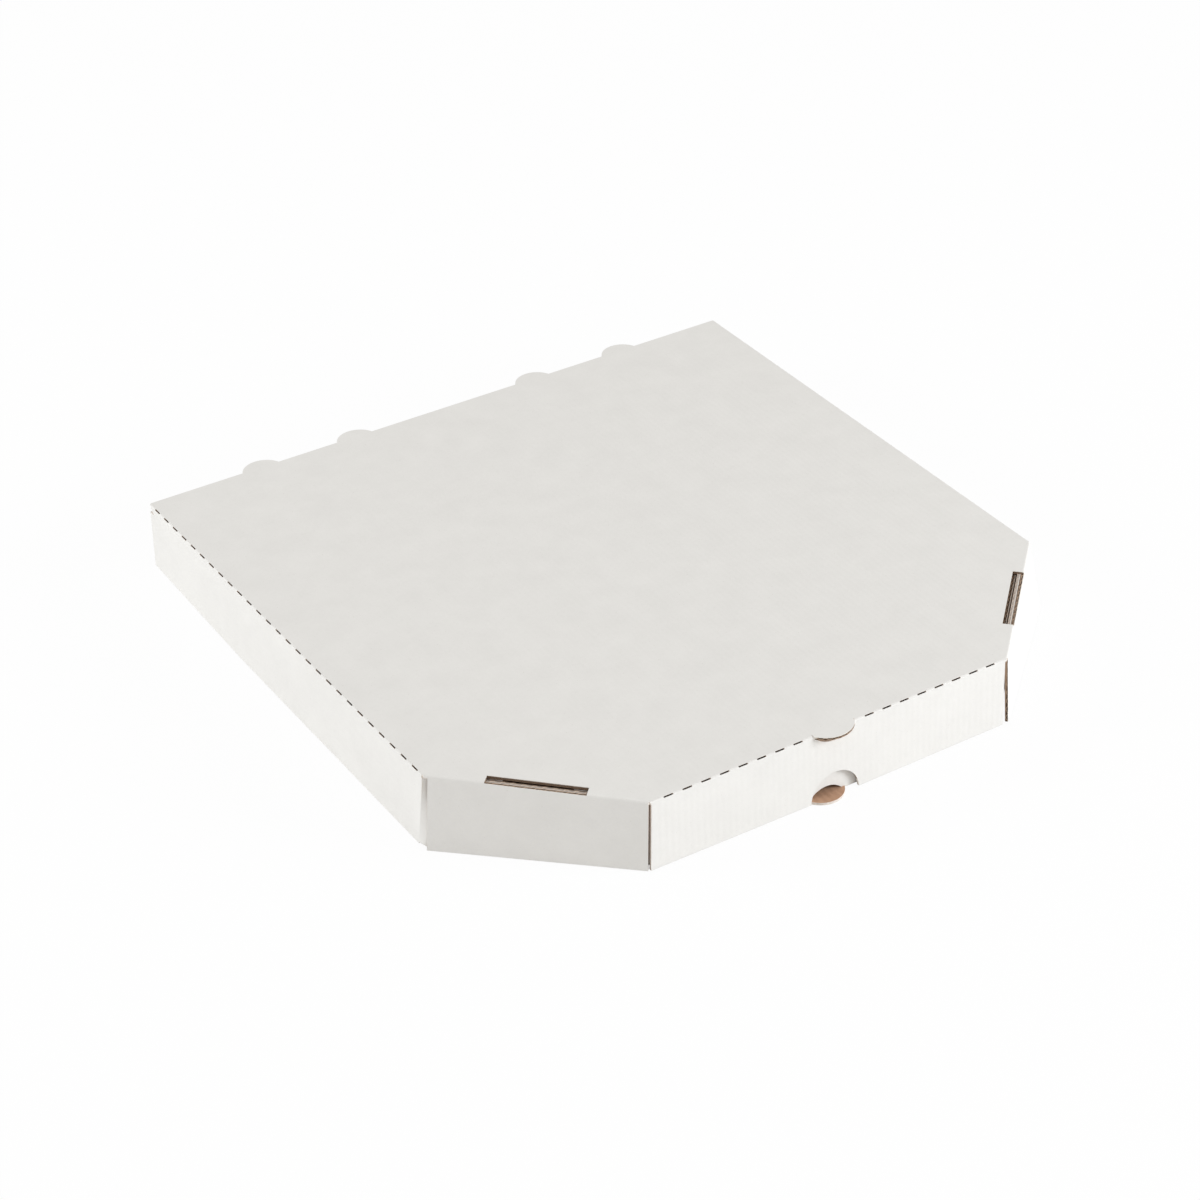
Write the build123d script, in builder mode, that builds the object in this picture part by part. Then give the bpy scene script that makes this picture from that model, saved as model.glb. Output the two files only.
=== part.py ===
from build123d import *
from math import radians, sqrt, tan
import os

# A die-cut pizza box of thin fluted board, folded from one sheet and closed.
# Millimetres, +Z up, +X to the right along the front, the front is -Y and the lid hinges at +Y.
# The origin is on the underside of the floor, under the middle of the lid's panel.
# Walls are given by their outer faces. Their ends run anticlockwise round the box, seen from above.

# Sheet
board = 1.5
fold_radius = 1.1

# Closed box, measured on the creases of the lid's panel
width = 346.0
depth = 349.0
height = 37.0
corner_cut = 73.0

# Clearances
lid_gap = 0.8
tuck_gap = 0.3
end_gap = 0.6
hinge_gap = 0.3

# The lid's walls hang from the panel and stand out a little at the bottom
skirt_lift = 0.5
side_spread_back = 0.2
side_spread_middle = 2.8
side_spread_front = 3.5
side_bend_place = 100.0
corner_spread_side = 7.0
corner_spread_front = 2.2
front_spread_left = 1.8
front_spread_middle = 2.5
front_spread_right = 1.5

# Ends of the lid's front wall and corner flaps, from the corners of the panel
front_gap_left = 0.9
front_gap_right = 1.4
front_flare_left = 1.5
front_flare_right = -0.3
flap_side_gap = 2.5
flap_front_gap = 0.5

# The tray's front and corner walls lean in towards the top
tray_lean = 3.2

# Perforated creases
dash_length = 5.0
dash_width = 0.7
dash_pitch = 10.0
side_dash_start = 9.0
front_dash_start = 19.9

# Half-moon tabs, cut from a wall and left in the plane of the panel beside it
thumb_tab_width = 23.0
thumb_tab_reach = 6.0
floor_tab_width = 21.0
floor_tab_reach = 6.8
floor_tab_shift = -3.2
floor_hole_drop = 1.9
rear_tab_width = 20.6
rear_tab_reach = 6.6
rear_tab_places = [54.5, 109.6]
tab_cut_gap = 0.3
tab_swing_gap = 1.2

# Finger notch in the lower edge of the lid's front wall
notch_radius = 13.5

# Corner lock: a slot at the lid's corner crease and the lug that stands up in it
slot_length = 46.5
slot_depth = 5.6
flap_drop_left = 0.6
flap_drop_right = 1.0
lug_drop = 1.0
lug_end_gap = 0.5
tuck_knee = 2.4
tuck_length = 82.0
tuck_slant = 12.0
tuck_lift = 0.5
relief_radius = 0.6

# Flaps tucked inside the tray
rear_flap_length = 36.0
corner_flap_length = 44.0
flap_slant = 6.0

# Derived places
half_width = width / 2
half_depth = depth / 2
diagonal = sqrt(2)
cut_line = half_width + half_depth - corner_cut
corner_length = corner_cut * diagonal
fold_inset = board + tuck_gap
tray_top = height - board - lid_gap
lean_in = tray_top * tan(radians(tray_lean))
side_inset = board + lid_gap
front_inset = board + lid_gap - lean_in
corner_inset = fold_inset + board + lid_gap - lean_in
rear_fold = half_depth - fold_inset
tuck_top = height - board - tuck_gap
crease_base = height - fold_radius
side_dash_room = depth - corner_cut - side_dash_start - dash_length
front_dash_room = half_width - corner_cut - front_dash_start - dash_length
side_dash_count = int(side_dash_room / dash_pitch) + 1
front_dash_count = int(front_dash_room / dash_pitch) + 1
slot_start = (corner_length - slot_length) / 2
slot_end = slot_start + slot_length
through = 3 * board


def side_corner(side, cut):
    """Side end of the left corner line, with the side and the corner moved in from the lid's creases."""
    x = side - half_width
    return (x, cut * diagonal - cut_line - x)


def front_corner(front, cut):
    """Front end of the left corner line, with the front and the corner moved in from the lid's creases."""
    y = front - half_depth
    return (cut * diagonal - cut_line - y, y)


def moved(point, start, end, distance, outward=0.0):
    """Point moved along the way from start to end, and outward from the box."""
    way = (Vector(*end) - Vector(*start)).normalized()
    return (point[0] + way.X * distance + way.Y * outward, point[1] + way.Y * distance - way.X * outward)


def facets(points, crease):
    """Plans of a wall's facets, one board thick inside these points and divided square to the crease."""
    inner = [moved(points[0], points[0], points[1], 0, -board)]
    inner += [moved(point, crease[-2], crease[-1], 0, -board) for point in points[1:-1]]
    inner.append(moved(points[-1], points[-2], points[-1], 0, -board))
    return [[points[i], points[i + 1], inner[i + 1], inner[i]] for i in range(len(points) - 1)]


def corner_patch(start, end, near, far):
    """Plan of a patch of the left corner: two distances along its crease and two inward from it."""
    side, front = side_corner(0, 0), front_corner(0, 0)
    places = [(start, near), (end, near), (end, far), (start, far)]
    return [moved(side, side, front, length, -inward) for length, inward in places]


def tab_radius(tab_width, reach):
    """Radius of the arc that reaches this far from a chord of the tab's width."""
    return (tab_width ** 2 / 4 + reach ** 2) / (2 * reach)


def tuck_fold(z):
    """Fold of the lid's extension flap at height z, at the front end of the side wall."""
    side = side_corner(0, 0)
    return (side[0] - side_spread_front * (crease_base - z) / (crease_base - skirt_lift), side[1])


def flap_spread(z, along):
    """How far the lid's corner flap stands out at height z, this far along its crease."""
    share = (along - flap_side_gap) / (corner_length - flap_side_gap - flap_front_gap)
    foot = corner_spread_side + (corner_spread_front - corner_spread_side) * share
    return foot * (crease_base - z) / (crease_base - skirt_lift)


def flap_at(z, inward, *lengths):
    """Places at height z, this far in from the corner flap's outer face and along its crease."""
    side, front = side_corner(0, 0), front_corner(0, 0)
    return [moved(side, side, front, length, flap_spread(z, length) - inward) for length in lengths]


def leant(z):
    """How far the tray's walls have leant in at height z."""
    return z * tan(radians(tray_lean))


def tray_side_wall(z):
    return ((side_inset - half_width, rear_fold), side_corner(side_inset, corner_inset + fold_inset + leant(z)))


def tray_front_wall(z):
    return (front_corner(front_inset + leant(z), corner_inset + fold_inset + leant(z)),
            (0, front_inset + leant(z) - half_depth))


def tray_corner_wall(z):
    side = side_corner(side_inset, corner_inset + leant(z))
    front = front_corner(front_inset + leant(z), corner_inset + leant(z))
    return (moved(side, side, front, end_gap), moved(front, side, front, -end_gap))


def tray_side_flap(z, length):
    side, front = side_corner(0, 0), front_corner(0, 0)
    fold = tray_side_wall(z)[1]
    return (fold, moved(fold, side, front, length))


def tray_front_flap(z, length):
    side, front = side_corner(0, 0), front_corner(0, 0)
    fold = tray_front_wall(z)[0]
    return (moved(fold, side, front, -length), fold)


def tray_rear_flap(length):
    return ((side_inset - half_width + length, rear_fold), (side_inset - half_width, rear_fold))


lid_side, lid_front = side_corner(0, 0), front_corner(0, 0)
back_y, bend_y = half_depth - end_gap, half_depth - side_bend_place
flap_ends = (flap_side_gap, corner_length - flap_front_gap)
tuck_base = skirt_lift + tuck_lift
lug_top = height - lug_drop
lug_ends = (slot_start + lug_end_gap, slot_end - lug_end_gap)

# Each wall of the lid's left half: its low plan and height, then its high plan and height
lid_walls = [
    ([(-half_width - side_spread_back, back_y), (-half_width - side_spread_middle, bend_y),
      tuck_fold(skirt_lift)], skirt_lift,
     [(-half_width, back_y), (-half_width, bend_y), lid_side], crease_base),
    (flap_at(skirt_lift, 0, *flap_ends), skirt_lift, flap_at(crease_base, 0, *flap_ends), crease_base),
    ([tuck_fold(tuck_base), *flap_at(tuck_base, fold_inset, tuck_knee, tuck_length - tuck_slant)], tuck_base,
     [tuck_fold(tuck_top), *flap_at(tuck_top, fold_inset, tuck_knee, tuck_length)], tuck_top),
    (flap_at(tuck_top, fold_inset, *lug_ends), tuck_top, flap_at(lug_top, fold_inset, *lug_ends), lug_top),
]

# The lid's front wall, drawn whole because its two ends differ
front_from, front_to = lid_front[0] + front_gap_left, -lid_front[0] - front_gap_right
front_low = [(front_from - front_flare_left, -half_depth - front_spread_left),
             (0, -half_depth - front_spread_middle),
             (front_to + front_flare_right, -half_depth - front_spread_right)]
front_high = [(front_from, -half_depth), (0, -half_depth), (front_to, -half_depth)]

# Lid: the left half is folded up, cut and mirrored, then the middle of the front is cut
with BuildPart() as lid:
    with BuildSketch(Plane.XY.offset(height - board)):
        Polygon((0, -half_depth), lid_front, lid_side, (-half_width, half_depth), (0, half_depth), align=None)
    extrude(amount=board)
    panel_edges = lid.edges().filter_by_position(Axis.Z, height - 0.01, height + 0.01)
    fillet(panel_edges.filter_by(lambda e: e.center().X < -board and e.center().Y < half_depth - board),
           radius=fold_radius)

    # Slot for the lug, cut before the walls are added
    with BuildSketch(Plane.XY.offset(height - board)):
        Polygon(*corner_patch(slot_start, slot_end, board, slot_depth), align=None)
    extrude(amount=board, mode=Mode.SUBTRACT)
    for low, z_low, high, z_high in lid_walls:
        for low_facet, high_facet in zip(facets(low, high), facets(high, high)):
            with BuildSketch(Plane.XY.offset(z_low)):
                Polygon(*low_facet, align=None)
            with BuildSketch(Plane.XY.offset(z_high)):
                Polygon(*high_facet, align=None)
            loft(ruled=True)

    # Round reliefs where the creases meet
    with BuildSketch(Plane.XY.offset(height - board)):
        with Locations(lid_side, lid_front):
            Circle(relief_radius)
    extrude(amount=board, mode=Mode.SUBTRACT)

    # Perforations through the side crease
    side_dashes = [half_depth - side_dash_start - dash_pitch * i for i in range(side_dash_count)]
    with Locations([Location((-half_width, y, height), (0, -45, 0)) for y in side_dashes]):
        Box(dash_width, dash_length, 2 * through, mode=Mode.SUBTRACT)

    # The panel's back edge is mitred on the hinge crease
    with BuildSketch(Plane.YZ):
        with Locations((half_depth - hinge_gap, height)):
            Polygon((0, 0), (through, through), (through, -through), (-through, -through), align=None)
    extrude(amount=-width, mode=Mode.SUBTRACT)

    # Rear half-moons, left in the panel's plane behind the hinge crease
    for place in rear_tab_places:
        with BuildSketch(Plane.XY.offset(height - board)):
            with BuildLine():
                root = rear_tab_width / 2
                ThreePointArc((-place - root, half_depth), (-place, half_depth + rear_tab_reach),
                              (-place + root, half_depth))
                Polyline((-place + root, half_depth), (-place + root - end_gap, half_depth - through),
                         (-place - root + end_gap, half_depth - through), (-place - root, half_depth))
            make_face()
        extrude(amount=board)

    mirror(about=Plane.YZ)

    # Raw edges of the corner flaps along the slots
    for side, drop in ((1, flap_drop_left), (-1, flap_drop_right)):
        with BuildSketch(Plane.XY.offset(height - drop)):
            Polygon(*[(side * x, y) for x, y in corner_patch(slot_start, slot_end, -board, board)], align=None)
        extrude(amount=2 * board, mode=Mode.SUBTRACT)

    # Front wall, and the perforations through its crease
    for low_facet, high_facet in zip(facets(front_low, front_high), facets(front_high, front_high)):
        with BuildSketch(Plane.XY.offset(skirt_lift)):
            Polygon(*low_facet, align=None)
        with BuildSketch(Plane.XY.offset(crease_base)):
            Polygon(*high_facet, align=None)
        loft(ruled=True)
    front_dashes = [side * (front_dash_start + dash_pitch * i) for i in range(front_dash_count) for side in (-1, 1)]
    with Locations([Location((x, -half_depth, height), (45, 0, 0)) for x in front_dashes]):
        Box(dash_length, dash_width, 2 * through, mode=Mode.SUBTRACT)

    # Half-moon hole at the top of the front wall, and the thumb tab that came out of it
    with BuildSketch(Plane.XZ.offset(half_depth - board)):
        radius = tab_radius(thumb_tab_width, thumb_tab_reach)
        with Locations((0, height + radius - thumb_tab_reach)):
            Circle(radius + tab_cut_gap)
    extrude(amount=through, mode=Mode.SUBTRACT)
    with BuildSketch(Plane.XY.offset(height - board)):
        with BuildLine():
            ThreePointArc((-thumb_tab_width / 2, -half_depth), (0, -half_depth - thumb_tab_reach),
                          (thumb_tab_width / 2, -half_depth))
            Polyline((thumb_tab_width / 2, -half_depth), (thumb_tab_width / 2, through - half_depth),
                     (-thumb_tab_width / 2, through - half_depth), (-thumb_tab_width / 2, -half_depth))
        make_face()
    extrude(amount=board)

    # Finger notch
    with BuildSketch(Plane.XZ.offset(half_depth - board)):
        Circle(notch_radius)
    extrude(amount=2 * through, mode=Mode.SUBTRACT)

# Left half of the tray's floor, out to the feet of its walls
front_foot = front_inset + leant(board)
corner_foot = corner_inset + leant(board)
tray_floor = [(0, front_foot - half_depth), front_corner(front_foot, corner_foot),
              side_corner(side_inset, corner_foot), (side_inset - half_width, half_depth), (0, half_depth)]

# Each wall and flap of the tray's left half: its low plan and height, then its high plan and height
flap_floor = board + tuck_gap
back_wall = ((0, half_depth), (side_inset - half_width, half_depth))
tray_walls = [
    (tray_side_wall(board), board, tray_side_wall(tray_top), tray_top),
    (tray_front_wall(board), board, tray_front_wall(tray_top), tray_top),
    (tray_corner_wall(board), board, tray_corner_wall(tray_top), tray_top),
    (back_wall, board, back_wall, height),
    (tray_side_flap(flap_floor, corner_flap_length), flap_floor,
     tray_side_flap(tray_top, corner_flap_length - flap_slant), tray_top),
    (tray_front_flap(flap_floor, corner_flap_length), flap_floor,
     tray_front_flap(tray_top, corner_flap_length - flap_slant), tray_top),
    (tray_rear_flap(rear_flap_length), flap_floor,
     tray_rear_flap(rear_flap_length - flap_slant), tray_top),
]

# Tray: the left half is folded up and mirrored, then the middle of the front is cut
with BuildPart() as tray:
    with BuildSketch(Plane.XY):
        Polygon(*tray_floor, align=None)
    extrude(amount=board)
    floor_edges = tray.edges().filter_by_position(Axis.Z, -0.01, 0.01)
    fillet(floor_edges.filter_by(lambda e: e.center().X < -board), radius=fold_radius)
    for low, z_low, high, z_high in tray_walls:
        with BuildSketch(Plane.XY.offset(z_low)):
            Polygon(*facets(low, high)[0], align=None)
        with BuildSketch(Plane.XY.offset(z_high)):
            Polygon(*facets(high, high)[0], align=None)
        loft(ruled=True)

    # The back wall's top edge is mitred on the hinge crease
    with BuildSketch(Plane.YZ):
        with Locations((half_depth, height - hinge_gap)):
            Polygon((0, 0), (through, through), (-through, through), (-through, -through), align=None)
    extrude(amount=-width, mode=Mode.SUBTRACT)

    # Half-moon holes that the lid's rear tabs came out of
    with BuildSketch(Plane.XZ.offset(-half_depth)):
        radius = tab_radius(rear_tab_width, rear_tab_reach)
        with Locations([(-place, height + radius - rear_tab_reach) for place in rear_tab_places]):
            Circle(radius + tab_swing_gap)
    extrude(amount=through, both=True, mode=Mode.SUBTRACT)

    mirror(about=Plane.YZ)

    # Half-moon hole at the foot of the front wall, and the floor tab that came out of it
    tray_front = front_foot - half_depth
    with BuildSketch(Plane.XZ.offset(-tray_front - board - tuck_gap)):
        radius = tab_radius(floor_tab_width, floor_tab_reach)
        with Locations((floor_tab_shift, floor_tab_reach - floor_hole_drop - radius)):
            Circle(radius + tab_cut_gap)
    extrude(amount=through, mode=Mode.SUBTRACT)
    with BuildSketch(Plane.XY):
        root = floor_tab_width / 2
        with BuildLine():
            ThreePointArc((floor_tab_shift - root, tray_front), (floor_tab_shift, tray_front - floor_tab_reach),
                          (floor_tab_shift + root, tray_front))
            Polyline((floor_tab_shift + root, tray_front), (floor_tab_shift + root, tray_front + through),
                     (floor_tab_shift - root, tray_front + through), (floor_tab_shift - root, tray_front))
        make_face()
    extrude(amount=board)

lid.part.label = "lid"
tray.part.label = "tray"
os.makedirs("parts", exist_ok=True)
export_step(lid.part, "parts/lid.step")
export_step(tray.part, "parts/tray.step")
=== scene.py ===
import bpy
from math import cos, pi, radians, sin, sqrt
from mathutils import Matrix, Vector
from mathutils.bvhtree import BVHTree


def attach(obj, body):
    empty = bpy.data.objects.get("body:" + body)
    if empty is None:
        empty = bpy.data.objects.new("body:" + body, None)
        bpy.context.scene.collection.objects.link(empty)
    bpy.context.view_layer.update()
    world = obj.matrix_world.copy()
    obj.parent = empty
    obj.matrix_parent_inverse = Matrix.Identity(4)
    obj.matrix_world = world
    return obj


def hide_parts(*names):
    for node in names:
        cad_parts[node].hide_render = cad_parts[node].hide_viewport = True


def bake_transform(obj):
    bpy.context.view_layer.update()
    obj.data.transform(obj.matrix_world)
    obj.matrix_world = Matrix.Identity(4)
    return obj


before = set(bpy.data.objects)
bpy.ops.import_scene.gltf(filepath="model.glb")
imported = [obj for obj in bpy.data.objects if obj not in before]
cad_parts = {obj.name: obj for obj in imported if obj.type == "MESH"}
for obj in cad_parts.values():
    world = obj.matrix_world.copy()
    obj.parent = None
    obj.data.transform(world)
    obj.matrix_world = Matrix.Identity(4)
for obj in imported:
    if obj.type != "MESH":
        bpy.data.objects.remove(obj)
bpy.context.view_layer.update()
print("Frame loaded:", ", ".join(sorted(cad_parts)))


# Small helpers

mergeDistance = 0.000001


def selectOnly(item):
    bpy.ops.object.select_all(action='DESELECT')
    item.select_set(True)
    bpy.context.view_layer.objects.active = item


def addNode(tree, kind, x, y, **settings):
    node = tree.nodes.new(kind)
    node.location = (x, y)
    for name, value in settings.items():
        setattr(node, name, value)
    return node


def link(tree, fromSocket, toSocket):
    tree.links.new(fromSocket, toSocket)


def newMaterial(name):
    material = bpy.data.materials.new(name)
    material.use_nodes = True
    tree = material.node_tree
    tree.nodes.clear()
    output = addNode(tree, 'ShaderNodeOutputMaterial', 900, 0)
    shader = addNode(tree, 'ShaderNodeBsdfPrincipled', 600, 0)
    link(tree, shader.outputs['BSDF'], output.inputs['Surface'])
    return material, tree, shader


def mathNode(tree, operation, x, y, first, second=None, third=None, clamp=False):
    node = addNode(tree, 'ShaderNodeMath', x, y, operation=operation, use_clamp=clamp)
    for socket, value in zip(node.inputs, (first, second, third)):
        if value is None:
            continue
        if isinstance(value, (int, float)):
            socket.default_value = value
        else:
            link(tree, value, socket)
    return node.outputs[0]


def noiseNode(tree, x, y, place, scale, detail=2.0, roughness=0.5):
    noise = addNode(tree, 'ShaderNodeTexNoise', x, y)
    noise.inputs['Scale'].default_value = scale
    noise.inputs['Detail'].default_value = detail
    noise.inputs['Roughness'].default_value = roughness
    link(tree, place, noise.inputs['Vector'])
    return noise.outputs['Fac']


def bumpNode(tree, x, y, height, distance, normal=None):
    bump = addNode(tree, 'ShaderNodeBump', x, y)
    bump.inputs['Strength'].default_value = 1.0
    bump.inputs['Distance'].default_value = distance
    link(tree, height, bump.inputs['Height'])
    if normal is not None:
        link(tree, normal, bump.inputs['Normal'])
    return bump.outputs['Normal']


def colourMix(tree, x, y, share, first, second):
    mixed = addNode(tree, 'ShaderNodeMix', x, y, data_type='RGBA')
    link(tree, share, mixed.inputs[0])
    for socket, value in ((mixed.inputs[6], first), (mixed.inputs[7], second)):
        if isinstance(value, tuple):
            socket.default_value = (*value, 1.0)
        else:
            link(tree, value, socket)
    return mixed.outputs[2]


def colourRamp(tree, x, y, factor, stops):
    ramp = addNode(tree, 'ShaderNodeValToRGB', x, y)
    elements = ramp.color_ramp.elements
    while len(elements) < len(stops):
        elements.new(0.5)
    for element, (position, colour) in zip(elements, stops):
        element.position = position
        element.color = (*colour, 1.0)
    link(tree, factor, ramp.inputs['Fac'])
    return ramp.outputs['Color']


# The folded sheet, as in the CAD: metres, with the flutes running front to back in the flat sheet

sheet = {
    "board": 0.0015,
    "halfWidth": 0.173,
    "halfDepth": 0.1745,
    "height": 0.037,
    "cornerCut": 0.073,
    "flutePitch": 0.0034,
    "dashLength": 0.005,
    "thumbTab": 0.0125,
    "rearTabs": (0.0545, 0.1096),
    "foldHeight": 0.0013,
    "flapFoot": 0.0005,
    "flapTop": 0.0359,
    "flapSpreadSide": 0.0070,
    "flapSpreadFront": 0.0022,
    "trayTop": 0.0347,
    "trayCornerInside": 0.0060,
    "trayCornerLean": 0.0019,
}
cornerLength = sheet["cornerCut"] * sqrt(2)


# The wave of the flutes, and how far down the sheet map a point lies

def fluteWave(tree, x, y):
    flat = addNode(tree, 'ShaderNodeUVMap', x, y, uv_map="sheet")
    parts = addNode(tree, 'ShaderNodeSeparateXYZ', x + 200, y)
    link(tree, flat.outputs['UV'], parts.inputs['Vector'])
    turns = mathNode(tree, 'MULTIPLY', x + 400, y, parts.outputs['X'], 2 * pi / sheet["flutePitch"])
    return mathNode(tree, 'SINE', x + 600, y, turns), parts.outputs['Y']


# Board: white liner outside, brown kraft inside, fluted medium between them

whiteLook = {
    "light": (0.838, 0.826, 0.794),
    "dark": (0.798, 0.786, 0.755),
    "speck": (0.70, 0.675, 0.63),
    "speckAbove": 0.735,
    "fibreShare": 0.35,
    # ribPaintedShade: how much the flute ribs darken and lighten the colour, painted shade of the washboard
    "ribPaintedShade": 0.002,
    "roughness": 0.62,
    "washboard": 0.000009,
    "grain": 0.00003,
}


def makeWhiteLiner():
    material, tree, shader = newMaterial("whiteLiner")
    place = addNode(tree, 'ShaderNodeTexCoord', -1500, 0).outputs['Object']
    cloudy = noiseNode(tree, -1250, 300, place, 55.0, detail=5.0, roughness=0.62)
    fibres = noiseNode(tree, -1250, 0, place, 700.0, detail=3.0)
    flecks = noiseNode(tree, -1250, -300, place, 1500.0)

    # Faint ribs that the flutes press through the liner: a bump, and painted shade of the washboard in the
    # colour
    ribs, _ = fluteWave(tree, -1500, -600)

    mottle = mathNode(tree, 'MULTIPLY_ADD', -950, 150, fibres, whiteLook["fibreShare"], cloudy)
    shade = mathNode(tree, 'MULTIPLY_ADD', -750, 150, ribs, whiteLook["ribPaintedShade"], mottle)
    paper = colourRamp(tree, -500, 200, shade, [(0.45, whiteLook["dark"]), (0.9, whiteLook["light"])])
    isSpeck = mathNode(tree, 'GREATER_THAN', -750, -300, flecks, whiteLook["speckAbove"])
    colour = colourMix(tree, -150, 150, isSpeck, paper, whiteLook["speck"])
    link(tree, colour, shader.inputs['Base Color'])
    shader.inputs['Roughness'].default_value = whiteLook["roughness"]
    ribNormal = bumpNode(tree, 50, -400, ribs, whiteLook["washboard"])
    grainNormal = bumpNode(tree, 300, -400, fibres, whiteLook["grain"], ribNormal)
    link(tree, grainNormal, shader.inputs['Normal'])
    return material


kraftLook = {
    "light": (0.60, 0.365, 0.235),
    "dark": (0.52, 0.305, 0.192),
    "fibre": (0.37, 0.21, 0.13),
    "fibreAbove": 0.64,
    "fibreShare": 0.35,
    # ribPaintedShade: flute ribs in the kraft colour, painted shade of the washboard
    "ribPaintedShade": 0.03,
    "roughness": 0.78,
    "washboard": 0.00004,
}


def makeKraftLiner():
    material, tree, shader = newMaterial("kraftLiner")
    place = addNode(tree, 'ShaderNodeTexCoord', -1500, 0).outputs['Object']
    stretch = addNode(tree, 'ShaderNodeMapping', -1300, 0)
    stretch.inputs['Scale'].default_value = (1.0, 0.25, 1.0)
    link(tree, place, stretch.inputs['Vector'])
    cloudy = noiseNode(tree, -1050, 300, place, 130.0, detail=6.0)
    fibres = noiseNode(tree, -1050, 0, stretch.outputs['Vector'], 1400.0, detail=4.0)
    ribs, _ = fluteWave(tree, -1500, -600)

    # The ribs shift the kraft colour as painted shade of the washboard, besides their bump
    shade = mathNode(tree, 'MULTIPLY_ADD', -750, 150, ribs, kraftLook["ribPaintedShade"], cloudy)
    paper = colourRamp(tree, -500, 200, shade, [(0.3, kraftLook["dark"]), (0.7, kraftLook["light"])])
    isFibre = mathNode(tree, 'GREATER_THAN', -750, -100, fibres, kraftLook["fibreAbove"])
    weak = mathNode(tree, 'MULTIPLY', -550, -100, isFibre, kraftLook["fibreShare"])
    colour = colourMix(tree, -150, 150, weak, paper, kraftLook["fibre"])
    link(tree, colour, shader.inputs['Base Color'])
    shader.inputs['Roughness'].default_value = kraftLook["roughness"]
    link(tree, bumpNode(tree, 300, -400, ribs, kraftLook["washboard"]), shader.inputs['Normal'])
    return material


rawLook = {
    "outerLiner": (0.81, 0.78, 0.72),
    "innerLiner": (0.42, 0.29, 0.20),
    "medium": (0.46, 0.33, 0.23),
    # hollowShade: near-black open flutes, painted shade for hollows that the flat cut face lacks
    "hollowShade": (0.075, 0.045, 0.028),
    "crushedAndLit": (0.86, 0.79, 0.72),
    # Up-facing lug tops: partly crushed fibres, partly painted light; flap tops: none, left as painted shade
    "lugCrushAndLight": 0.42,
    "flapCrushShaded": 0.0,
    "outerShare": 0.2,
    "innerShare": 0.86,
    "wave": 0.30,
    "mediumHalf": 0.13,
    "ragged": 0.3,
    "roughness": 0.9,
}


def makeRawEdge():
    material, tree, shader = newMaterial("rawEdge")
    wave, boardDepth = fluteWave(tree, -1700, 0)
    place = addNode(tree, 'ShaderNodeTexCoord', -1700, -500).outputs['Object']
    ragged = noiseNode(tree, -1500, -500, place, 900.0, detail=3.0)
    nudge = mathNode(tree, 'MULTIPLY_ADD', -1300, -400, ragged, rawLook["ragged"], -rawLook["ragged"] / 2)
    depth = mathNode(tree, 'ADD', -1100, -200, boardDepth, nudge)
    middle = mathNode(tree, 'MULTIPLY_ADD', -900, 200, wave, rawLook["wave"], 0.5)
    off = mathNode(tree, 'SUBTRACT', -700, 100, depth, middle)
    away = mathNode(tree, 'ABSOLUTE', -500, 100, off)
    # Between the wave the open flutes get a near-black colour: painted shade
    inHollowShade = mathNode(tree, 'GREATER_THAN', -300, 100, away, rawLook["mediumHalf"])
    inside = colourMix(tree, -50, 200, inHollowShade, rawLook["medium"], rawLook["hollowShade"])
    isOuter = mathNode(tree, 'LESS_THAN', -300, -100, depth, rawLook["outerShare"])
    withOuter = colourMix(tree, 150, 100, isOuter, inside, rawLook["outerLiner"])
    isInner = mathNode(tree, 'GREATER_THAN', -300, -300, depth, rawLook["innerShare"])
    layers = colourMix(tree, 350, 0, isInner, withOuter, rawLook["innerLiner"])

    # Perforations and cuts along the flutes have no wave, only crushed fibres; the same pale colour on
    # up-facing lug tops is partly painted light
    crush = addNode(tree, 'ShaderNodeAttribute', -50, -400, attribute_name="crushedAndLit")
    patchy = mathNode(tree, 'MULTIPLY_ADD', 150, -400, ragged, 0.8, 0.5, clamp=True)
    amount = mathNode(tree, 'MULTIPLY', 350, -400, crush.outputs['Fac'], patchy)
    colour = colourMix(tree, 480, -150, amount, layers, rawLook["crushedAndLit"])
    link(tree, colour, shader.inputs['Base Color'])
    shader.inputs['Roughness'].default_value = rawLook["roughness"]
    return material


whiteLiner = makeWhiteLiner()
kraftLiner = makeKraftLiner()
rawEdge = makeRawEdge()
whiteSide, kraftSide, rawSide = range(3)
print("Board materials made")


# Where a point lies in the flat sheet, so that ribs and flute tips follow the folds.
# A distance here is how far from its place on the sheet a face or a point still counts as there.

placing = {
    "touch": 0.0001,
    "panel": 0.0016,
    "frontEnd": 0.004,
    "cornerDepth": 0.012,
    "cornerEnd": 0.001,
    "cornerWallEnd": 0.004,
    "cornerWallFace": 0.00015,
    "sideWall": 0.006,
    "backFlap": (0.0016, 0.0045),
    "level": 0.5,
    "squareOn": 0.9,
}


def cornerPlace(point):
    x, y = -abs(point.x), point.y
    along = (x + sheet["halfWidth"] - (y + sheet["halfDepth"] - sheet["cornerCut"])) / sqrt(2)
    line = sheet["halfWidth"] + sheet["halfDepth"] - sheet["cornerCut"]
    outward = (-x - y - line) / sqrt(2)
    return along, outward


def isCornerWall(nodeName, point):
    along, outward = cornerPlace(point)
    end = placing["cornerWallEnd"]
    if outward < -placing["cornerDepth"] or along < -end or along > cornerLength + end:
        return False
    if nodeName == "lid":
        share = (sheet["flapTop"] - point.z) / (sheet["flapTop"] - sheet["flapFoot"])
        change = sheet["flapSpreadFront"] - sheet["flapSpreadSide"]
        spread = (sheet["flapSpreadSide"] + change * along / cornerLength) * share
        return outward > spread - sheet["board"] - placing["cornerWallFace"]
    lean = sheet["trayCornerLean"] * (1 - point.z / sheet["trayTop"])
    return outward > lean - sheet["trayCornerInside"]


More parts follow.
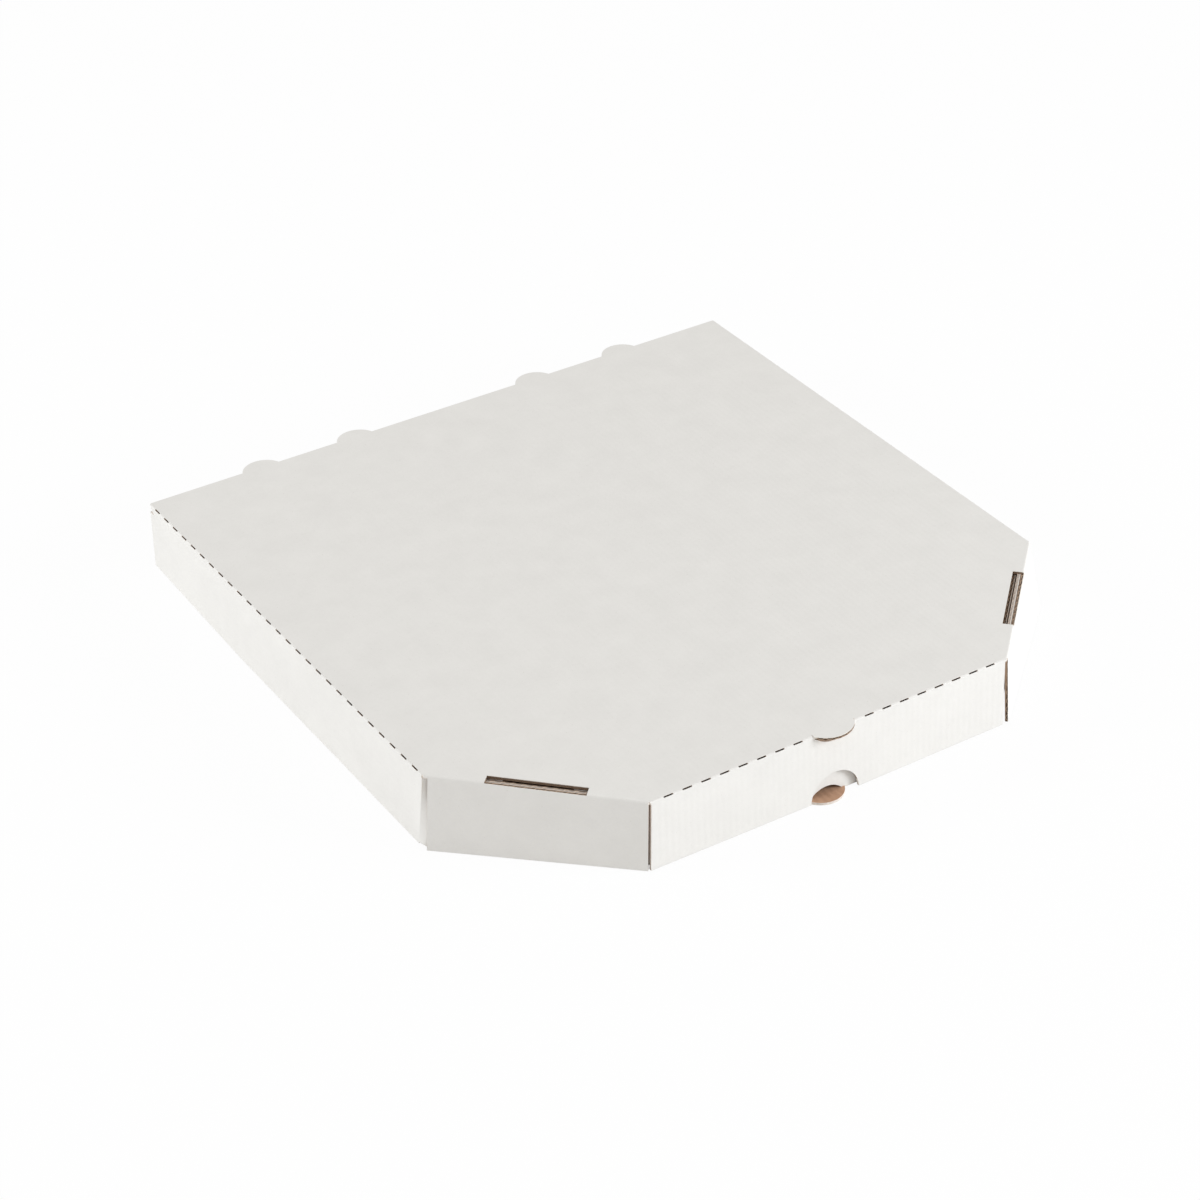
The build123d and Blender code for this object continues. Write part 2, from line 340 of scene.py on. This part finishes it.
def flatPlace(nodeName, facing, middle, point):
    x, y, z = point
    fold = sheet["height"] if nodeName == "lid" else 0.0
    drop = abs(fold - z)
    inPanel = abs(fold - middle.z) < placing["panel"] and abs(facing.z) > placing["level"]
    if inPanel or drop < placing["touch"]:
        return x, y
    if abs(facing.x) > placing["squareOn"] and middle.y < placing["frontEnd"] - sheet["halfDepth"]:
        return x, z
    along, outward = cornerPlace(middle)
    end = placing["cornerEnd"]
    if outward > -placing["cornerDepth"] and -end < along < cornerLength + end:
        alongHere, _ = cornerPlace(point)
        if isCornerWall(nodeName, middle):
            return (alongHere - drop) / sqrt(2), (alongHere + drop) / sqrt(2)
        if nodeName == "tray" and along > cornerLength / 2:
            return alongHere, z
        return drop, alongHere
    nearest, furthest = placing["backFlap"]
    onSide = abs(middle.x) > sheet["halfWidth"] - placing["sideWall"]
    onBackFlap = nearest < sheet["halfDepth"] - middle.y < furthest and abs(facing.y) > placing["squareOn"]
    if onSide or onBackFlap:
        return drop, y
    return x, z


# Which side of the board a face shows: some are told by their fold, the rest by what lies behind them

siding = {
    "level": 0.99,
    "levelReach": 0.0002,
    "foldSlope": 0.03,
    "probe": 0.00001,
    "thickest": 0.0023,
    "steep": 0.5,
}


def boardSide(nodeName, polygon, solid):
    normal, middle = polygon.normal, polygon.center
    outward = Vector((middle.x, middle.y, 0)).normalized()
    facesOut = normal.dot(outward) > 0
    faceUp = normal.z if nodeName == "lid" else -normal.z
    fromFold = sheet["height"] - middle.z if nodeName == "lid" else middle.z
    if faceUp > siding["level"] and fromFold < siding["levelReach"]:
        return whiteSide
    if fromFold < sheet["foldHeight"] and siding["foldSlope"] < faceUp <= siding["level"] and facesOut:
        return whiteSide
    hit = solid.ray_cast(middle - normal * siding["probe"], -normal)
    if hit[3] is None or hit[3] > siding["thickest"]:
        return rawSide
    if abs(faceUp) > siding["steep"]:
        return whiteSide if faceUp > 0 else kraftSide
    return whiteSide if facesOut else kraftSide


# How crushed a raw face is: wholly at perforations, the floor tab and cuts along the flutes. Up-facing lug
# tops are paler partly as crushed fibres and partly as painted light on a lit top, while up-facing flap tops
# get none, so their dark hollows stay as painted shade

crushing = {
    "acrossShare": 0.25,
    "creaseReach": 0.0015,
    "dashDepth": 0.0026,
    "dashSlack": 0.0003,
    "floorTab": 0.0002,
    "level": 0.5,
}


def howCrushedAndLit(nodeName, polygon, coords, across):
    middle = polygon.center
    longest = max((coords[first] - coords[second]).length for first, second in polygon.edge_keys)
    alongFlutes = across < crushing["acrossShare"] * longest
    if nodeName == "tray":
        return 1.0 if alongFlutes or middle.y < -sheet["halfDepth"] - crushing["floorTab"] else 0.0
    onSideCrease = abs(abs(middle.x) - sheet["halfWidth"]) < crushing["creaseReach"]
    isFront = abs(middle.y + sheet["halfDepth"]) < crushing["creaseReach"]
    onFrontCrease = isFront and abs(middle.x) > sheet["thumbTab"]
    onCrease = (onSideCrease or onFrontCrease) and sheet["height"] - middle.z < crushing["dashDepth"]
    if alongFlutes or onCrease and longest < sheet["dashLength"] + crushing["dashSlack"]:
        return 1.0
    # Up-facing tops: lug tops paler as painted light on a lit top, flap tops kept dark as painted shade
    if polygon.normal.z > crushing["level"]:
        return rawLook["flapCrushShaded"] if cornerPlace(middle)[1] > -sheet["board"] else rawLook["lugCrushAndLight"]
    return 0.0


# Both halves of the sheet: the CAD's own meshes, with a side of the board for each face

def copyNode(nodeName, pieceName):
    piece = bpy.data.objects.new(pieceName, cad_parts[nodeName].data.copy())
    bpy.context.scene.collection.objects.link(piece)
    selectOnly(piece)
    bpy.ops.object.mode_set(mode='EDIT')
    bpy.ops.mesh.select_all(action='SELECT')
    bpy.ops.mesh.remove_doubles(threshold=mergeDistance)
    bpy.ops.mesh.dissolve_limited(angle_limit=radians(0.3))
    bpy.ops.object.mode_set(mode='OBJECT')
    piece.data.materials.clear()
    for material in (whiteLiner, kraftLiner, rawEdge):
        piece.data.materials.append(material)
    return piece


def writeSheetMap(nodeName, mesh, coords, faces):
    # White and kraft faces alone give how deep a point lies in the thickness of the board
    trees = []
    for side in (whiteSide, kraftSide):
        sideFaces = [face for face, polygon in zip(faces, mesh.polygons) if polygon.material_index == side]
        trees.append(BVHTree.FromPolygons(coords, sideFaces))
    layer = mesh.uv_layers.new(name="sheet")
    for polygon in mesh.polygons:
        for loop in polygon.loop_indices:
            point = coords[mesh.loops[loop].vertex_index]
            u, v = flatPlace(nodeName, polygon.normal, polygon.center, point)
            if polygon.material_index == rawSide:
                toWhite, toKraft = (tree.find_nearest(point)[3] for tree in trees)
                v = toWhite / max(toWhite + toKraft, mergeDistance)
            layer.data[loop].uv = (u, v)


def writeCrushedAndLit(nodeName, mesh, coords):
    crushedAndLit = mesh.attributes.new("crushedAndLit", 'FLOAT', 'FACE')
    layer = mesh.uv_layers["sheet"]
    for polygon in mesh.polygons:
        flutes = [layer.data[loop].uv[0] for loop in polygon.loop_indices]
        crushedAndLit.data[polygon.index].value = howCrushedAndLit(nodeName, polygon, coords, max(flutes) - min(flutes))


def smoothFolds(piece):
    # Folds are rounded, cut edges stay sharp
    mesh = piece.data
    bpy.ops.object.shade_smooth_by_angle(angle=radians(50))
    sidesAt = {}
    for polygon in mesh.polygons:
        for key in polygon.edge_keys:
            sidesAt.setdefault(key, set()).add(polygon.material_index)
    sharp = mesh.attributes.get("sharp_edge") or mesh.attributes.new("sharp_edge", 'BOOLEAN', 'EDGE')
    for edge in mesh.edges:
        if len(sidesAt[edge.key]) > 1:
            sharp.data[edge.index].value = True
    bpy.ops.object.modifier_add(type='WEIGHTED_NORMAL')
    piece.modifiers[-1].keep_sharp = True
    piece.modifiers[-1].weight = 100
    bpy.ops.object.modifier_apply(modifier=piece.modifiers[-1].name)


def dressNode(nodeName, pieceName):
    piece = copyNode(nodeName, pieceName)
    mesh = piece.data
    coords = [vertex.co.copy() for vertex in mesh.vertices]
    faces = [tuple(polygon.vertices) for polygon in mesh.polygons]
    solid = BVHTree.FromPolygons(coords, faces)
    for polygon in mesh.polygons:
        polygon.material_index = boardSide(nodeName, polygon, solid)
    writeSheetMap(nodeName, mesh, coords, faces)
    writeCrushedAndLit(nodeName, mesh, coords)
    smoothFolds(piece)
    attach(piece, nodeName)
    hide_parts(nodeName)
    counts = [sum(polygon.material_index == side for polygon in mesh.polygons)
              for side in (whiteSide, kraftSide, rawSide)]
    print(pieceName, "dressed: faces white, kraft and raw", counts)


dressNode("lid", "lidBoard")
dressNode("tray", "trayBoard")


# Back crease: the white liner that runs over the fold between the lid's panel and the back wall

creaseStrip = {
    "tabClear": 0.0117,
    "endClear": 0.0026,
    "radius": 0.0005,
    "lead": 0.0008,
    "sunk": 0.00003,
    "slack": 0.0001,
    "thickness": 0.0002,
    "steps": 8,
}


def creaseRuns():
    clear = creaseStrip["tabClear"]
    ends = [place + side * clear for place in sheet["rearTabs"] for side in (-1, 1)]
    ends.append(sheet["halfWidth"] - creaseStrip["endClear"])
    ends = sorted([-end for end in ends] + ends)
    return zip(ends[::2], ends[1::2])


def makeStrip(start, end, top, back):
    radius, lead = creaseStrip["radius"], creaseStrip["lead"]
    place = ((start + end) / 2, back - radius - lead / 2, top)
    bpy.ops.object.select_all(action='DESELECT')
    bpy.ops.mesh.primitive_plane_add(size=1.0, location=place)
    strip = bpy.context.object
    strip.scale = (end - start, lead, 1.0)
    bpy.ops.object.transform_apply(location=True, rotation=False, scale=True)
    bpy.ops.object.mode_set(mode='EDIT')
    bpy.ops.mesh.select_all(action='DESELECT')
    bpy.ops.object.mode_set(mode='OBJECT')
    for vertex in strip.data.vertices:
        vertex.select = vertex.co.y > back - radius - creaseStrip["slack"]
    for edge in strip.data.edges:
        edge.select = all(strip.data.vertices[index].select for index in edge.vertices)
    for polygon in strip.data.polygons:
        polygon.select = False
    bpy.ops.object.mode_set(mode='EDIT')
    bpy.ops.mesh.spin(steps=creaseStrip["steps"], angle=radians(90),
                      center=(0.0, back - radius, top - radius), axis=(1.0, 0.0, 0.0))
    bpy.ops.mesh.extrude_region_move(TRANSFORM_OT_translate={"value": (0.0, 0.0, -lead)})
    bpy.ops.mesh.select_all(action='SELECT')
    bpy.ops.mesh.remove_doubles(threshold=mergeDistance)
    bpy.ops.mesh.normals_make_consistent(inside=False)
    bpy.ops.object.mode_set(mode='OBJECT')
    return strip


def makeBackCrease():
    top = sheet["height"] - creaseStrip["sunk"]
    back = sheet["halfDepth"] - creaseStrip["sunk"]
    strips = [makeStrip(start, end, top, back) for start, end in creaseRuns()]
    bpy.ops.object.select_all(action='DESELECT')
    for strip in strips:
        strip.select_set(True)
    bpy.context.view_layer.objects.active = strips[0]
    bpy.ops.object.join()
    crease = bpy.context.object
    crease.name = "backCrease"

    # The liner gets its thickness below its outer face, so that face has to point outwards
    if min(polygon.normal.z for polygon in crease.data.polygons) < -0.5:
        crease.data.flip_normals()
    bpy.ops.object.modifier_add(type='SOLIDIFY')
    crease.modifiers[-1].thickness = creaseStrip["thickness"]
    crease.modifiers[-1].offset = -1.0
    bpy.ops.object.modifier_apply(modifier=crease.modifiers[-1].name)
    bpy.ops.object.shade_smooth_by_angle(angle=radians(40))
    layer = crease.data.uv_layers.new(name="sheet")
    for loop in crease.data.loops:
        point = crease.data.vertices[loop.vertex_index].co
        layer.data[loop.index].uv = (point.x, point.y - point.z)
    crease.data.materials.append(whiteLiner)
    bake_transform(crease)
    print("Back crease made:", len(crease.data.polygons), "faces")


makeBackCrease()


# Camera, from the photograph's angle

cameraLook = {
    "azimuth": -32.164,
    "elevation": 33.546,
    "roll": -0.961,
    "target": (-0.001563, 0.020117, 0.0),
    "distance": 1.577779,
    "lens": 94.31,
    "sensor": 36.0,
}


def makeCamera():
    azimuth, elevation = radians(cameraLook["azimuth"]), radians(cameraLook["elevation"])
    roll = radians(cameraLook["roll"])
    back = Vector((sin(azimuth) * cos(elevation), -cos(azimuth) * cos(elevation), sin(elevation)))
    right = Vector((cos(azimuth), sin(azimuth), 0.0))
    up = back.cross(right)
    right, up = right * cos(roll) + up * sin(roll), up * cos(roll) - right * sin(roll)
    place = Vector(cameraLook["target"]) + back * cameraLook["distance"]
    bpy.ops.object.camera_add(location=place)
    camera = bpy.context.object
    camera.name = "photoCamera"
    turn = Matrix((right, up, back)).transposed().to_4x4()
    camera.matrix_world = Matrix.Translation(place) @ turn
    camera.data.lens = cameraLook["lens"]
    camera.data.sensor_width = cameraLook["sensor"]
    bpy.context.scene.camera = camera


makeCamera()


# Light and floor

studio = {
    "world": 0.605,
    "worldColour": (1.0, 0.975, 0.945),
    "seenColour": (1.0, 1.0, 1.0),
    "floorColour": (0.92, 0.92, 0.92),
    "floorShare": 0.95,
    "floorSize": 12.0,
    "floorHeight": 0.0001,  # this far above the tray's underside, so that they share no plane
    "lampColour": (0.924, 0.955, 1.0),
    "lamps": [
        {"name": "backLeftSoftbox", "place": (-1.8, 1.0, 0.8), "size": 1.0, "power": 21.5},
        {"name": "frontRightSoftbox", "place": (1.5, -1.4, 0.75), "size": 1.0, "power": 30.0},
    ],
}


def makeFloor():
    bpy.ops.mesh.primitive_plane_add(size=studio["floorSize"], location=(0.0, 0.0, studio["floorHeight"]))
    floor = bpy.context.object
    floor.name = "paleFloor"
    material, tree, shader = newMaterial("paleFloor")
    shader.inputs['Base Color'].default_value = (*studio["floorColour"], 1.0)
    shader.inputs['Roughness'].default_value = 0.8
    shader.inputs['Specular IOR Level'].default_value = 0.0
    glow = addNode(tree, 'ShaderNodeEmission', 600, -300)
    glow.inputs['Strength'].default_value = 1.0
    path = addNode(tree, 'ShaderNodeLightPath', 200, 300)
    share = mathNode(tree, 'MULTIPLY', 450, 300, path.outputs['Is Camera Ray'], studio["floorShare"])
    blend = addNode(tree, 'ShaderNodeMixShader', 800, 200)
    output = next(node for node in tree.nodes if node.type == 'OUTPUT_MATERIAL')
    link(tree, share, blend.inputs[0])
    link(tree, shader.outputs['BSDF'], blend.inputs[1])
    link(tree, glow.outputs['Emission'], blend.inputs[2])
    link(tree, blend.outputs['Shader'], output.inputs['Surface'])
    floor.data.materials.append(material)


def makeWorld():
    world = bpy.data.worlds.new("studioWorld")
    bpy.context.scene.world = world
    world.use_nodes = True
    tree = world.node_tree
    tree.nodes.clear()
    output = addNode(tree, 'ShaderNodeOutputWorld', 600, 0)
    background = addNode(tree, 'ShaderNodeBackground', 400, 0)
    seen = addNode(tree, 'ShaderNodeLightPath', -200, 0).outputs['Is Camera Ray']
    strength = addNode(tree, 'ShaderNodeMix', 200, 0)
    link(tree, seen, strength.inputs[0])
    strength.inputs[2].default_value = studio["world"]
    strength.inputs[3].default_value = 1.0
    link(tree, strength.outputs[0], background.inputs['Strength'])
    colour = colourMix(tree, 200, 300, seen, studio["worldColour"], studio["seenColour"])
    link(tree, colour, background.inputs['Color'])
    link(tree, background.outputs['Background'], output.inputs['Surface'])


def makeLamps():
    for lamp in studio["lamps"]:
        bpy.ops.object.light_add(type='AREA', location=lamp["place"])
        light = bpy.context.object
        light.name = lamp["name"]
        light.data.shape = 'DISK'
        light.data.size = lamp["size"]
        light.data.energy = lamp["power"]
        light.data.color = studio["lampColour"]
        light.rotation_euler = (-Vector(lamp["place"])).to_track_quat('-Z', 'Y').to_euler()


makeFloor()
makeWorld()
makeLamps()
bpy.context.scene.view_settings.view_transform = 'Standard'
print("Camera, floor and lamps set")
